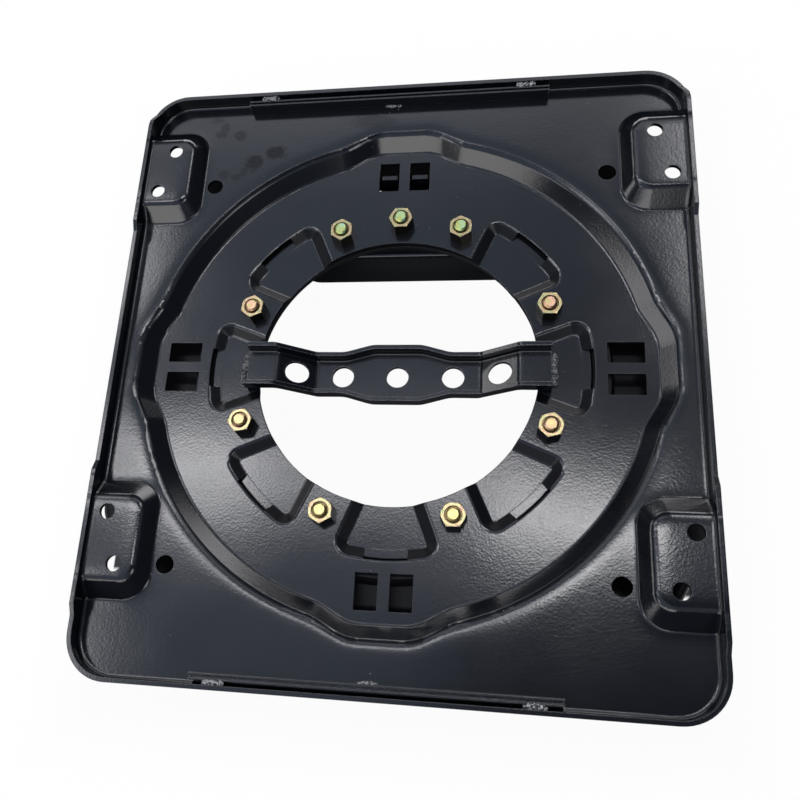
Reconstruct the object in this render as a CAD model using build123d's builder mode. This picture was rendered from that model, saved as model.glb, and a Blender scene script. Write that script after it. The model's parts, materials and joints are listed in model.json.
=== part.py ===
from build123d import *
import os
from math import atan, atan2, cos, radians, sin, tan

# Swivel seat base for a van or caravan seat. A pressed turntable plate turns on a base pan between two slip
# rings, held down by a retaining ring on nine bolts. A latch plate under the pan lifts two prongs into slots.
# Origin on the swivel axis at the pan's underside, +X to the right, +Y to the rear, +Z up. Millimetres.

# Turntable plate
plate_width = 340.0
plate_length = 375.0
plate_corner_r = 25.0
sheet = 2.5
bend_r = 2.0
rim_rise = 9.3
rim_extra = 3.0
rim_ramp = 6.0
rim_overrun = 4.0

# Dish pressed into the plate, with a flat-topped bulge on each side
dish_depth = 8.7
dish_r = 151.5
dish_wall_run = 8.9
bulge_reach = 5.8
bulge_half = 18.0
bulge_foot_angle = 14.7
bulge_blend_r = 25.0
centre_hole_r = 83.2

# Latch slots, a pair on each side of the dish floor
slot_width = 12.5
slot_inner_r = 120.8
slot_outer_r = 141.1
slot_half_gap = 3.4

# Sector pads pressed down into the dish floor, with a sheared tab on each outer edge
sector_count = 8
sector_drop = 3.5
sector_r = 113.8
sector_half = 21.1
sector_side_angle = 21.3
sector_wall_run = 6.4
sector_corner_r = 8.5
sector_face_corner_r = 2.0
sector_bend_r = 1.0
tab_half = 12.2
tab_r = 112.2

# Raised corner pads that carry the seat
seat_offset = 10.2
pad_rise = 8.7
pad_inner_x = 130.5
pad_wall_run_x = 6.5
pad_wall_run_y = 10.0
pad_span_y = 68.0
pad_place_y = 120.0
pad_corner_r = 15.0
pad_face_corner_r = 9.5
seat_hole_r = 4.5
seat_inner_x = 149.5
seat_inner_y = 134.8
seat_outer_x = 158.0
seat_outer_y = 105.4
access_hole_r = 5.15
access_hole_xy = 122.8

# Clamping bolts and nuts, M8
bolt_circle_r = 96.0
bolt_r = 4.0
bolt_hole_r = 4.2
bolt_tip = 1.8
bolt_chamfer = 1.0
nut_flats = 13.0
nut_height = 8.9
nut_recess_r = 5.0
nut_recess = 1.3
nut_bore_r = 4.05
nut_turns = [0.0, 30.0, 30.0, 24.0, 10.0, 30.0, 0.0, 15.0, 0.0]
head_height = 5.3
spacer_r = 6.5
hex_chamfer = 0.9

# Retaining ring, slip rings and hanging bracket
ring_inner_r = 85.0
ring_outer_r = 120.0
ring_sheet = 3.0
ring_edge = 0.5
slip_sheet = 1.5
slip_inner_r = 115.2
slip_outer_r = 119.5
bracket_face_y = 79.6
bracket_leg = 26.4
bracket_half = 66.0
bracket_drop = 33.0
bracket_sheet = 2.0
bracket_bend_r = 0.5
bracket_corner = 22.0
bracket_foot_r = 8.0

# Base pan
pan_height = 32.5
pan_half_width = 177.0
pan_half_length = 152.0
pan_centre_y = 10.0
pan_clip_x = 29.0
pan_clip_y = 52.0
pan_corner_r = 20.0
pan_sheet = 2.5
pan_bend_r = 2.5
land_rise = 9.0
land_outer_r = 123.2
land_ramp = 3.0
bore_r = 112.5
bore_chamfer = 0.8
base_bolt_r = 4.5
base_bolt_x = 140.0
base_bolt_y = 102.8

# Crossbar, a pressed channel with five holes
bar_sheet = 3.0
bar_wall = 2.5
bar_reach = 90.0
bar_half_end = 13.5
bar_half_waist = 13.2
bar_half_middle = 18.0
bar_blend_r = 20.0
bar_wide_x = 15.0
bar_neck_x = 32.0
bar_flange = 8.0
bar_bend_top_x = 72.2
bar_bend_low_x = 49.5
bar_drop = 15.5
bar_bend_r = 6.0
bar_root_r = 1.5
bar_hole_r = 6.75
bar_hole_pitch = 33.6
bar_hole_end_x = 61.2
bar_weld = 3.4
bar_weld_half = 10.5

# Rails tacked inside the front and rear rims
rail_thickness = 4.1
rail_height = 7.6
rail_length = 192.0
rail_gap = 2.1
rail_rear_x = -7.0
rail_front_x = -3.0
rail_groove = 1.2
rail_groove_depth = 2.6
rail_edge_r = 0.5
rail_weld_length = 12.0
rail_weld_inset = 14.0

# Latch plate, its pin, hanger and spring
prong_width = 10.0
prong_place_y = 132.5
latch_sheet = 3.0
latch_half = 17.5
latch_arm_z = 22.0
latch_clear = 0.3
latch_tongue_half = 9.0
latch_end_inset = 5.5
latch_ear_half = 7.0
pin_y = 150.0
pin_z = 15.0
pin_r = 3.0
pin_running_gap = 0.05
pin_head_r = 4.8
pin_head = 1.6
hanger_sheet = 3.0
hanger_gap = 0.5
hanger_length = 14.0
spring_wire_r = 0.8
spring_r = 4.4
spring_turns = 4.75
spring_length = 12.0
grip_length = 17.0
grip_half_width = 13.0
grip_wall = 3.0
window_gap = 2.5
window_r = 2.0
lever_window_drop = 4.0
prong_window_half = 18.0
prong_window_gap = 3.0
prong_swing = 4.0
prong_chamfer = 0.8
spring_window = 7.0
spring_leg = 15.0
pin_seat_gap = 0.02
pin_groove_r = 2.4
grip_edge_r = 2.0
clip_thickness = 0.8
clip_r = 5.2

# Levels that follow from the stack of sheets
land_z = pan_height + land_rise
floor_under_z = land_z + slip_sheet
floor_z = floor_under_z + sheet
deck_z = floor_z + dish_depth
deck_under_z = deck_z - sheet
pad_z = deck_z + pad_rise
rim_z = deck_z + rim_rise
rim_high_z = rim_z + rim_extra
sector_z = floor_z - sector_drop
ring_z = pan_height - pan_sheet + land_rise - slip_sheet
ring_under_z = ring_z - ring_sheet
bracket_z = ring_under_z
bracket_under_z = bracket_z - bracket_sheet
pan_under_z = pan_height - pan_sheet
latch_reach_y = plate_length / 2 - latch_end_inset
bar_holes = [-bar_hole_end_x, -bar_hole_pitch, 0.0, bar_hole_pitch, bar_hole_end_x]
bolt_angles = [22.5 + 45.0 * step for step in range(8)] + [90.0]
bracket_angles = [67.5, 90.0, 112.5]
sector_angles = [45.0 * step for step in range(sector_count) if 45.0 * step != 90.0]


def wall_shift(rise, run):
    """How far a bent sheet's lower contour lies outside its upper one"""
    return sheet * tan(atan(rise / run) / 2)


def on_circle(radius, angle):
    """A point on a circle about the swivel axis"""
    return (radius * cos(radians(angle)), radius * sin(radians(angle)))


def level_edges(shape, z, inner_r, outer_r):
    """The edges that lie flat at one level, with their centres between two radii"""
    chosen = ShapeList()
    for edge in shape.edges().filter_by_position(Axis.Z, z - 0.01, z + 0.01):
        centre = edge.position_at(0.5)
        if inner_r < Vector(centre.X, centre.Y, 0).length < outer_r:
            chosen.append(edge)
    return chosen


def dish_outline(radius, half):
    """Round dish with four flat-topped bulges"""
    foot_x, foot_y = on_circle(radius, bulge_foot_angle)
    with BuildSketch() as outline:
        Circle(radius)
        with PolarLocations(0, 4):
            Polygon(
                (0, 0), (foot_x, -foot_y), (radius + bulge_reach, -half),
                (radius + bulge_reach, half), (foot_x, foot_y), align=None,
            )
        fillet(outline.vertices(), bulge_blend_r)
    return outline.sketch


def dish_form(top_z, foot_z, grow):
    """The dish's hollow, or with grow its outer skin"""
    with BuildPart() as form:
        with BuildSketch(Plane.XY.offset(top_z)):
            add(dish_outline(dish_r + grow, bulge_half))
        with BuildSketch(Plane.XY.offset(foot_z)):
            add(dish_outline(dish_r - dish_wall_run + grow, bulge_half))
        loft(ruled=True)
    return form.part


def sector_outline(radius, half, corner):
    """One sector pad's contour, pointing along +X and open to the centre hole"""
    start = centre_hole_r - 13.0
    end = sector_r + 12.0
    slope = tan(radians(sector_side_angle))
    near = half + (start - centre_hole_r) * slope
    far = half + (end - centre_hole_r) * slope
    with BuildSketch() as outline:
        Polygon((start, -near), (end, -far), (end, far), (start, near), align=None)
        Circle(radius, mode=Mode.INTERSECT)
        fillet(outline.vertices().group_by(Axis.X)[-1], corner)
    return outline.sketch


def sector_form(top_z, foot_z, grow):
    """A sector pad's hollow, or with grow its outer skin"""
    face_shift = sector_wall_run / cos(radians(sector_side_angle))
    with BuildPart() as form:
        with BuildSketch(Plane.XY.offset(top_z)):
            add(sector_outline(sector_r + grow, sector_half + grow, sector_corner_r))
        with BuildSketch(Plane.XY.offset(foot_z)):
            add(sector_outline(
                sector_r - sector_wall_run + grow, sector_half - face_shift + grow, sector_face_corner_r,
            ))
        loft(ruled=True)
    return form.part


def tab_form(foot_z, top_z, inner_r, outer_r):
    """The stretch of a sector pad's outer edge between the ends of its sheared tab"""
    with BuildPart() as form:
        with BuildSketch(Plane.XY.offset(foot_z)):
            Rectangle(2 * outer_r, 2 * tab_half, align=(Align.MIN, Align.CENTER))
            Circle(outer_r, mode=Mode.INTERSECT)
            Circle(inner_r, mode=Mode.SUBTRACT)
        extrude(amount=top_z - foot_z)
    return form.part


def corner_pad(side, centre_y, foot_z, face_z, shrink):
    """A corner pad's raised form, running out past the plate's side"""
    outer_x = plate_width / 2 + 2 * pad_corner_r
    foot_x = pad_inner_x + shrink
    face_x = foot_x + pad_wall_run_x
    with BuildPart() as form:
        with BuildSketch(Plane.XY.offset(foot_z)):
            with Locations((side * (foot_x + outer_x) / 2, centre_y)):
                RectangleRounded(outer_x - foot_x, pad_span_y - 2 * shrink, pad_corner_r)
        with BuildSketch(Plane.XY.offset(face_z)):
            with Locations((side * (face_x + outer_x) / 2, centre_y)):
                RectangleRounded(
                    outer_x - face_x, pad_span_y - 2 * (shrink + pad_wall_run_y), pad_face_corner_r,
                )
        loft(ruled=True)
    return form.part


def pad_edges(shape, z):
    """The edges round the corner pads at one level, short of the rim"""
    chosen = ShapeList()
    for edge in shape.edges().filter_by_position(Axis.Z, z - 0.01, z + 0.01):
        if pad_inner_x - 1 < abs(edge.position_at(0.5).X) < plate_width / 2 - sheet - bend_r - 0.5:
            chosen.append(edge)
    return chosen


# Turntable plate: one pressed sheet
pad_shrink = wall_shift(pad_rise, pad_wall_run_x)
seat_patterns = [(seat_inner_x, seat_inner_y, seat_hole_r), (seat_outer_x, seat_outer_y, seat_hole_r)]
sector_hollow = sector_form(floor_z, sector_z, 0)
tab_room = tab_form(sector_z, floor_z, sector_r - sector_wall_run, sector_r)
tab = tab_form(sector_z - sheet, sector_z, sector_r - 2 * sector_wall_run, tab_r)
tab_gap = tab_form(sector_z - 2 * sheet, floor_z, tab_r, sector_r)
tab_under_gap = tab_form(sector_z - 2 * sheet, floor_under_z, tab_r, slip_inner_r)
sector_skin = sector_form(floor_under_z, sector_z - sheet, wall_shift(sector_drop, sector_wall_run))
pad_places = [(side, seat_offset + step * pad_place_y) for side in (-1, 1) for step in (-1, 1)]
with BuildPart() as plate_outline:
    with BuildSketch(Plane.XY.offset(deck_z)):
        RectangleRounded(plate_width, plate_length, plate_corner_r)
    extrude(amount=pad_rise)

with BuildPart() as turntable_plate:
    with BuildSketch(Plane.XY.offset(deck_under_z)):
        RectangleRounded(plate_width, plate_length, plate_corner_r)
    extrude(amount=rim_high_z - deck_under_z)
    fillet(level_edges(turntable_plate, deck_under_z, 0, 400), bend_r + sheet)
    with BuildSketch(Plane.XY.offset(deck_z)):
        RectangleRounded(plate_width - 2 * sheet, plate_length - 2 * sheet, plate_corner_r - sheet)
    extrude(amount=rim_high_z - deck_z, mode=Mode.SUBTRACT)
    fillet(level_edges(turntable_plate, deck_z, 0, 400), bend_r)

    # Rim top, higher beside the corner pads
    with BuildSketch(Plane.YZ):
        with BuildLine():
            line = [(-plate_length, rim_z)]
            for pad_y in (seat_offset - pad_place_y, seat_offset + pad_place_y):
                reach = pad_span_y / 2 + rim_overrun
                line += [(pad_y - reach - rim_ramp, rim_z), (pad_y - reach, rim_high_z)]
                line += [(pad_y + reach, rim_high_z), (pad_y + reach + rim_ramp, rim_z)]
            line += [(plate_length, rim_z), (plate_length, 2 * rim_z), (-plate_length, 2 * rim_z)]
            Polyline(line, close=True)
        make_face()
    extrude(amount=plate_width, both=True, mode=Mode.SUBTRACT)

    # Dish
    dish_grow = wall_shift(dish_depth, dish_wall_run)
    add(dish_form(deck_under_z, floor_under_z, dish_grow))
    fillet(level_edges(turntable_plate, deck_under_z, 140, 165), bend_r)
    fillet(level_edges(turntable_plate, floor_under_z, 130, 160), bend_r + sheet)
    add(dish_form(deck_z, floor_z, 0), mode=Mode.SUBTRACT)
    fillet(level_edges(turntable_plate, deck_z, 140, 160), bend_r + sheet)
    fillet(level_edges(turntable_plate, floor_z, 130, 150), bend_r)

    # Corner pads, raised from the sheet and open beneath out to the plate's side
    for side, centre_y in pad_places:
        add(corner_pad(side, centre_y, deck_z, pad_z, 0).intersect(plate_outline.part))
    fillet(pad_edges(turntable_plate, pad_z), bend_r + sheet)
    fillet(pad_edges(turntable_plate, deck_z), bend_r)
    add([
        corner_pad(side, centre_y, deck_under_z, pad_z - sheet, pad_shrink)
        for side, centre_y in pad_places
    ], mode=Mode.SUBTRACT)

    # Sector pads
    add([sector_skin.rotate(Axis.Z, angle) for angle in sector_angles])
    add([sector_hollow.rotate(Axis.Z, angle) for angle in sector_angles], mode=Mode.SUBTRACT)
    with BuildSketch(Plane.XY.offset(floor_z)):
        Circle(centre_hole_r)
    extrude(amount=-sheet - sector_drop, mode=Mode.SUBTRACT)
    fillet(level_edges(turntable_plate, floor_z, centre_hole_r + 1, sector_r + 1), sector_bend_r + sheet)
    fillet(level_edges(turntable_plate, sector_z, centre_hole_r + 1, sector_r + 1), sector_bend_r)
    add([tab_room.rotate(Axis.Z, angle) for angle in sector_angles], mode=Mode.SUBTRACT)
    add([tab.rotate(Axis.Z, angle) for angle in sector_angles])
    add([tab_gap.rotate(Axis.Z, angle) for angle in sector_angles], mode=Mode.SUBTRACT)
    add([tab_under_gap.rotate(Axis.Z, angle) for angle in sector_angles], mode=Mode.SUBTRACT)

    # Bolt holes, latch slots, seat holes and access holes
    with BuildSketch(Plane.XY.offset(pad_z)):
        with Locations([on_circle(bolt_circle_r, angle) for angle in bolt_angles]):
            Circle(bolt_hole_r)
        with PolarLocations((slot_inner_r + slot_outer_r) / 2, 4):
            for side in (-1, 1):
                with Locations((0, side * (slot_half_gap + slot_width / 2))):
                    Rectangle(slot_outer_r - slot_inner_r, slot_width)
        for spacing_x, spacing_y, radius in seat_patterns:
            with Locations((0, seat_offset)):
                with GridLocations(2 * spacing_x, 2 * spacing_y, 2, 2):
                    Circle(radius)
        with GridLocations(2 * access_hole_xy, 2 * access_hole_xy, 2, 2):
            Circle(access_hole_r)
    extrude(amount=-plate_width, mode=Mode.SUBTRACT)


def ring_solid(foot_z, thickness, inner_r, outer_r, hole_r=0.0, angles=()):
    """A flat ring, drilled on the bolt circle"""
    with BuildPart() as ring:
        with BuildSketch(Plane.XY.offset(foot_z)):
            Circle(outer_r)
            Circle(inner_r, mode=Mode.SUBTRACT)
            for angle in angles:
                with Locations(on_circle(bolt_circle_r, angle)):
                    Circle(hole_r, mode=Mode.SUBTRACT)
        extrude(amount=thickness)
    return ring.part


def hexagon_solid(flats, height, hole_r, recess_r, recess):
    """A hexagon with turned corners, standing on the XY plane"""
    corner_r = flats / 2 / cos(radians(30))
    with BuildPart() as barrel:
        Cylinder(corner_r, height, align=(Align.CENTER, Align.CENTER, Align.MIN))
        chamfer(barrel.edges().filter_by(GeomType.CIRCLE), hex_chamfer / 2, hex_chamfer)
    with BuildPart() as hexagon:
        with BuildSketch():
            RegularPolygon(flats / 2, 6, major_radius=False)
        extrude(amount=height)
        add(barrel.part, mode=Mode.INTERSECT)
        if hole_r > 0:
            with BuildSketch():
                Circle(hole_r)
            extrude(amount=height, mode=Mode.SUBTRACT)
            with BuildSketch(Plane.XY.offset(height - recess)):
                Circle(recess_r)
            extrude(amount=recess, mode=Mode.SUBTRACT)
    return hexagon.part


def bolt_solid(seat_z):
    """A hexagon bolt whose head seats upward at one level, with its end above the nut"""
    with BuildPart() as bolt:
        add(hexagon_solid(nut_flats, head_height, 0, 0, 0).moved(Location((0, 0, seat_z - head_height))))
        with BuildSketch(Plane.XY.offset(seat_z)):
            Circle(bolt_r)
        extrude(amount=floor_z + nut_height + bolt_tip - seat_z)
        chamfer(bolt.edges().group_by(Axis.Z)[-1], bolt_chamfer)
    return bolt.part


# Retaining ring under the pan's land
with BuildPart() as retaining_ring:
    add(ring_solid(ring_under_z, ring_sheet, ring_inner_r, ring_outer_r, bolt_hole_r, bolt_angles))
    chamfer(level_edges(retaining_ring, ring_under_z, ring_outer_r - 1, ring_outer_r + 1), ring_edge)

# Slip rings, one on the pan's land and one under it
with BuildPart() as upper_slip_ring:
    add(ring_solid(land_z, slip_sheet, slip_inner_r, slip_outer_r))
with BuildPart() as lower_slip_ring:
    add(ring_solid(ring_z, slip_sheet, slip_inner_r, slip_outer_r))

# Spacers that set the gap between the dish floor and the retaining ring
with BuildPart() as bolt_spacers:
    for angle in bolt_angles:
        with BuildSketch(Plane.XY.offset(ring_z)):
            with Locations(on_circle(bolt_circle_r, angle)):
                Circle(spacer_r)
                Circle(bolt_hole_r, mode=Mode.SUBTRACT)
        extrude(amount=floor_under_z - ring_z)

# Clamp bolts through the ring, and three longer ones through the bracket as well
with BuildPart() as clamp_bolts:
    for angle in bolt_angles:
        if angle not in bracket_angles:
            x, y = on_circle(bolt_circle_r, angle)
            add(bolt_solid(ring_under_z).moved(Location((x, y, 0))))
with BuildPart() as bracket_bolts:
    for angle in bracket_angles:
        x, y = on_circle(bolt_circle_r, angle)
        add(bolt_solid(bracket_under_z).moved(Location((x, y, 0))))

# Lock nuts, each turned as it was tightened
with BuildPart() as lock_nuts:
    for angle, turn in zip(bolt_angles, nut_turns):
        x, y = on_circle(bolt_circle_r, angle)
        nut = hexagon_solid(nut_flats, nut_height, nut_bore_r, nut_recess_r, nut_recess)
        add(nut.moved(Location((x, y, floor_z), (0, 0, turn))))

# Hanging bracket bolted under the rear of the ring
with BuildPart() as hanging_bracket:
    with BuildSketch(Plane.YZ):
        with BuildLine():
            Polyline(
                (bracket_face_y, bracket_z - bracket_drop),
                (bracket_face_y, bracket_z),
                (bracket_face_y + bracket_leg, bracket_z),
                (bracket_face_y + bracket_leg, bracket_under_z),
                (bracket_face_y + bracket_sheet, bracket_under_z),
                (bracket_face_y + bracket_sheet, bracket_z - bracket_drop),
                close=True,
            )
        make_face()
    extrude(amount=bracket_half, both=True)
    bend_edges = hanging_bracket.edges().filter_by(Axis.X)
    fillet(bend_edges.filter_by_position(Axis.Z, bracket_z - 0.01, bracket_z + 0.01).sort_by(Axis.Y)[0],
           bracket_bend_r + bracket_sheet)
    fillet(hanging_bracket.edges().filter_by(Axis.X).filter_by_position(
        Axis.Z, bracket_under_z - 0.01, bracket_under_z + 0.01).sort_by(Axis.Y)[0], bracket_bend_r)
    chamfer(hanging_bracket.edges().filter_by(Axis.Z).group_by(Axis.Y)[-1], bracket_corner)
    fillet(hanging_bracket.edges().filter_by(Axis.Y).group_by(Axis.Z)[0], bracket_foot_r)
    with BuildSketch(Plane.XY.offset(bracket_z)):
        with Locations([on_circle(bolt_circle_r, angle) for angle in bracket_angles]):
            Circle(bolt_hole_r)
    extrude(amount=-2 * bracket_sheet, mode=Mode.SUBTRACT)


def pan_outline(shrink):
    """The base pan's outline, a rectangle with its corners clipped"""
    half_x = pan_half_width - shrink
    half_y = pan_half_length - shrink
    clip = shrink * tan(atan2(pan_clip_x, pan_clip_y) / 2)
    cut = shrink * tan(atan2(pan_clip_y, pan_clip_x) / 2)
    corner = [(half_x, half_y - pan_clip_y + shrink - clip), (half_x - pan_clip_x + shrink - cut, half_y)]
    left = [(-x, y) for x, y in reversed(corner)]
    upper = corner + left
    lower = [(-x, -y) for x, y in upper]
    with BuildSketch() as outline:
        with Locations((0, pan_centre_y)):
            Polygon(*upper, *lower, align=None)
        fillet(outline.vertices(), pan_corner_r - shrink)
    return outline.sketch


# Base pan: one pressing with a raised bearing land round its bore
with BuildPart() as base_pan:
    with BuildSketch():
        add(pan_outline(0))
    extrude(amount=pan_height)
    fillet(base_pan.edges().group_by(Axis.Z)[-1], pan_bend_r + pan_sheet)
    with BuildSketch():
        add(pan_outline(pan_sheet))
    extrude(amount=pan_under_z, mode=Mode.SUBTRACT)
    with BuildSketch(Plane.XY.offset(pan_height)):
        Circle(land_outer_r + land_ramp)
    with BuildSketch(Plane.XY.offset(land_z)):
        Circle(land_outer_r)
    loft()
    land_shift = pan_sheet * tan(atan(land_rise / land_ramp) / 2)
    with BuildSketch(Plane.XY.offset(pan_under_z)):
        Circle(land_outer_r + land_ramp - land_shift)
    with BuildSketch(Plane.XY.offset(land_z - pan_sheet)):
        Circle(land_outer_r - land_shift)
    loft(mode=Mode.SUBTRACT)
    with BuildSketch(Plane.XY.offset(land_z)):
        Circle(bore_r)
        with GridLocations(2 * base_bolt_x, 2 * base_bolt_y, 2, 2):
            Circle(base_bolt_r)
    extrude(amount=-2 * pan_sheet - land_rise, mode=Mode.SUBTRACT)
    chamfer(level_edges(base_pan, land_z, bore_r - 0.1, bore_r + 0.1), bore_chamfer)
    # Window for the latch prongs, and one in the rear skirt for the lever
    with BuildSketch(Plane.XY.offset(pan_height)):
        with Locations((0, prong_place_y + prong_swing / 2)):
            RectangleRounded(
                2 * prong_window_half, latch_sheet + prong_swing + 2 * prong_window_gap, window_r,
            )
    extrude(amount=-2 * pan_sheet, mode=Mode.SUBTRACT)
    with BuildSketch(Plane.XZ.offset(-pan_centre_y - pan_half_length)):
        with Locations((0, latch_arm_z + latch_sheet / 2 - lever_window_drop / 2)):
            RectangleRounded(
                2 * (latch_tongue_half + window_gap),
                latch_sheet + lever_window_drop + 2 * window_gap,
                window_r,
            )
    extrude(amount=3 * pan_sheet, both=True, mode=Mode.SUBTRACT)


def bar_outline(shrink, reach):
    """The crossbar seen from above, wide in the middle"""
    edge = [(-reach, bar_half_end), (-bar_neck_x, bar_half_waist), (-bar_wide_x, bar_half_middle)]
    edge += [(bar_wide_x, bar_half_middle), (bar_neck_x, bar_half_waist), (reach, bar_half_end)]
    upper = [(x, half - shrink) for x, half in edge]
    lower = [(x, -y) for x, y in reversed(upper)]
    with BuildSketch() as outline:
        Polygon(*upper, *lower, align=None)
        inner = [vertex for vertex in outline.vertices() if abs(vertex.X) < reach - 1]
        fillet(inner, bar_blend_r)
    return outline.sketch


def bar_side(low_shift, high_shift, reach):
    """The crossbar seen from the front, between two heights above its web"""
    web_z = sector_z + bar_sheet
    line = [(-reach, web_z), (-bar_bend_top_x, web_z), (-bar_bend_low_x, web_z - bar_drop)]
    line += [(-x, z) for x, z in reversed(line)]
    low = [(x, z + low_shift) for x, z in line]
    high = [(x, z + high_shift) for x, z in reversed(line)]
    with BuildSketch() as side:
        Polygon(*low, *high, align=None)
        inner = [vertex for vertex in side.vertices() if abs(vertex.X) < reach - 1]
        fillet(inner, bar_bend_r)
    return side.sketch


def under_edges(shape):
    """The edges where a channel's underside meets its two long sides"""
    chosen = ShapeList()
    for face in shape.faces():
        if face.normal_at().Z < -0.5:
            chosen.extend(edge for edge in face.edges() if abs(edge.position_at(0.5).Y) > bar_half_waist / 2)
    return chosen


# Crossbar: the channel's outer form less the room between its flanges
with BuildPart() as crossbar_room:
    with BuildSketch():
        add(bar_outline(bar_wall, bar_reach + bar_sheet))
    extrude(amount=rim_z)
    with BuildSketch(Plane.XZ):
        add(bar_side(0, rim_z, bar_reach + bar_sheet))
    extrude(amount=plate_width, both=True, mode=Mode.INTERSECT)
    fillet(under_edges(crossbar_room), bar_root_r)
with BuildPart() as crossbar:
    with BuildSketch():
        add(bar_outline(0, bar_reach))
    extrude(amount=rim_z)
    with BuildSketch(Plane.XZ):
        add(bar_side(-bar_sheet, bar_flange, bar_reach))
    extrude(amount=plate_width, both=True, mode=Mode.INTERSECT)
    fillet(under_edges(crossbar), bar_root_r + bar_wall)
    add(crossbar_room.part, mode=Mode.SUBTRACT)
    with BuildSketch():
        with Locations([(x, 0) for x in bar_holes]):
            Circle(bar_hole_r)
    extrude(amount=rim_z, mode=Mode.SUBTRACT)


def end_weld(side):
    """A fillet weld across one end of the crossbar"""
    with BuildPart() as weld:
        with BuildSketch(Plane.XZ):
            with BuildLine():
                Line((side * bar_reach, sector_z), (side * (bar_reach + bar_weld), sector_z))
                ThreePointArc(
                    (side * (bar_reach + bar_weld), sector_z),
                    (side * (bar_reach + bar_weld * 0.6), sector_z + bar_sheet * 0.6),
                    (side * bar_reach, sector_z + bar_sheet),
                )
                Line((side * bar_reach, sector_z + bar_sheet), (side * bar_reach, sector_z))
            make_face()
        extrude(amount=bar_weld_half, both=True)
    return weld.part


with BuildPart() as crossbar_weld_left:
    add(end_weld(-1))
with BuildPart() as crossbar_weld_right:
    add(end_weld(1))


def rail_solid(side, centre_x):
    """A folded strip on edge inside the front or rear rim, its fold open upward"""
    outer_y = plate_length / 2 - sheet - rail_gap
    with BuildPart() as rail:
        with BuildSketch(Plane.YZ.offset(centre_x - rail_length / 2)):
            with Locations((side * (outer_y - rail_thickness / 2), deck_z)):
                Rectangle(rail_thickness, rail_height, align=(Align.CENTER, Align.MIN))
            with Locations((side * (outer_y - rail_thickness / 2), deck_z + rail_height)):
                Rectangle(rail_groove, rail_groove_depth, align=(Align.CENTER, Align.MAX), mode=Mode.SUBTRACT)
        extrude(amount=rail_length)
        fillet(rail.edges().filter_by(Axis.X).group_by(Axis.Z)[-1], rail_edge_r)
    return rail.part


def rail_weld_solids(side, centre_x):
    """Two beads that bridge the gap to the rim, and one at the rail's foot"""
    outer_y = plate_length / 2 - sheet - rail_gap
    inner_y = outer_y - rail_thickness
    with BuildPart() as welds:
        for end in (-1, 1):
            middle_x = centre_x + end * (rail_length / 2 - rail_weld_inset)
            with BuildSketch(Plane.YZ.offset(middle_x - rail_weld_length / 2)):
                with Locations((side * (outer_y + rail_gap / 2), deck_z + rail_height - rail_gap)):
                    Rectangle(rail_gap, rail_gap, align=(Align.CENTER, Align.MIN))
                with Locations((side * (outer_y + rail_gap / 2), deck_z + rail_height)):
                    Circle(rail_gap / 2)
            extrude(amount=rail_weld_length)
        with BuildSketch(Plane.YZ.offset(centre_x - rail_weld_length / 2)):
            with BuildLine():
                Polyline(
                    (side * inner_y, deck_z), (side * (inner_y - rail_gap), deck_z),
                    (side * inner_y, deck_z + rail_gap), close=True,
                )
            make_face()
        extrude(amount=rail_weld_length)
    return welds.part


with BuildPart() as rear_rail:
    add(rail_solid(1, rail_rear_x))
with BuildPart() as front_rail:
    add(rail_solid(-1, rail_front_x))
with BuildPart() as rear_rail_welds:
    add(rail_weld_solids(1, rail_rear_x))
with BuildPart() as front_rail_welds:
    add(rail_weld_solids(-1, rail_front_x))

# Latch plate: prongs, arm, pin ears and the tongue that goes out through the rear skirt
prong_x = slot_half_gap + slot_width / 2
arm_inner_y = prong_place_y - latch_sheet / 2
with BuildPart() as latch_plate:
    with BuildSketch(Plane.XY.offset(latch_arm_z)):
        with Locations((0, arm_inner_y)):
            Rectangle(2 * latch_half, pin_y + latch_ear_half - arm_inner_y, align=(Align.CENTER, Align.MIN))
            Rectangle(2 * latch_tongue_half, latch_reach_y - arm_inner_y, align=(Align.CENTER, Align.MIN))
        with Locations((spring_length / 2, pin_y - spring_r)):
            Rectangle(spring_window, spring_window, mode=Mode.SUBTRACT)
    extrude(amount=latch_sheet)
    with BuildSketch(Plane.XY.offset(latch_arm_z)):
        with Locations((-prong_x, prong_place_y), (prong_x, prong_place_y)):
            Rectangle(prong_width, latch_sheet)
    extrude(amount=floor_under_z - latch_clear - latch_arm_z)
    chamfer(latch_plate.edges().group_by(Axis.Z)[-1].filter_by(Axis.Y), prong_chamfer)
    with BuildSketch(Plane.YZ.offset(-latch_half)):
        with Locations((pin_y, latch_arm_z)):
            Rectangle(2 * latch_ear_half, latch_arm_z - pin_z, align=(Align.CENTER, Align.MAX))
        with Locations((pin_y, pin_z)):
            Circle(latch_ear_half)
    extrude(amount=latch_sheet)
    with BuildSketch(Plane.YZ.offset(latch_half - latch_sheet)):
        with Locations((pin_y, latch_arm_z)):
            Rectangle(2 * latch_ear_half, latch_arm_z - pin_z, align=(Align.CENTER, Align.MAX))
        with Locations((pin_y, pin_z)):
            Circle(latch_ear_half)
    extrude(amount=latch_sheet)
    with BuildSketch(Plane.YZ.offset(-latch_half)):
        with Locations((pin_y, pin_z)):
            Circle(pin_r + pin_running_gap)
    extrude(amount=2 * latch_half, mode=Mode.SUBTRACT)

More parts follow.
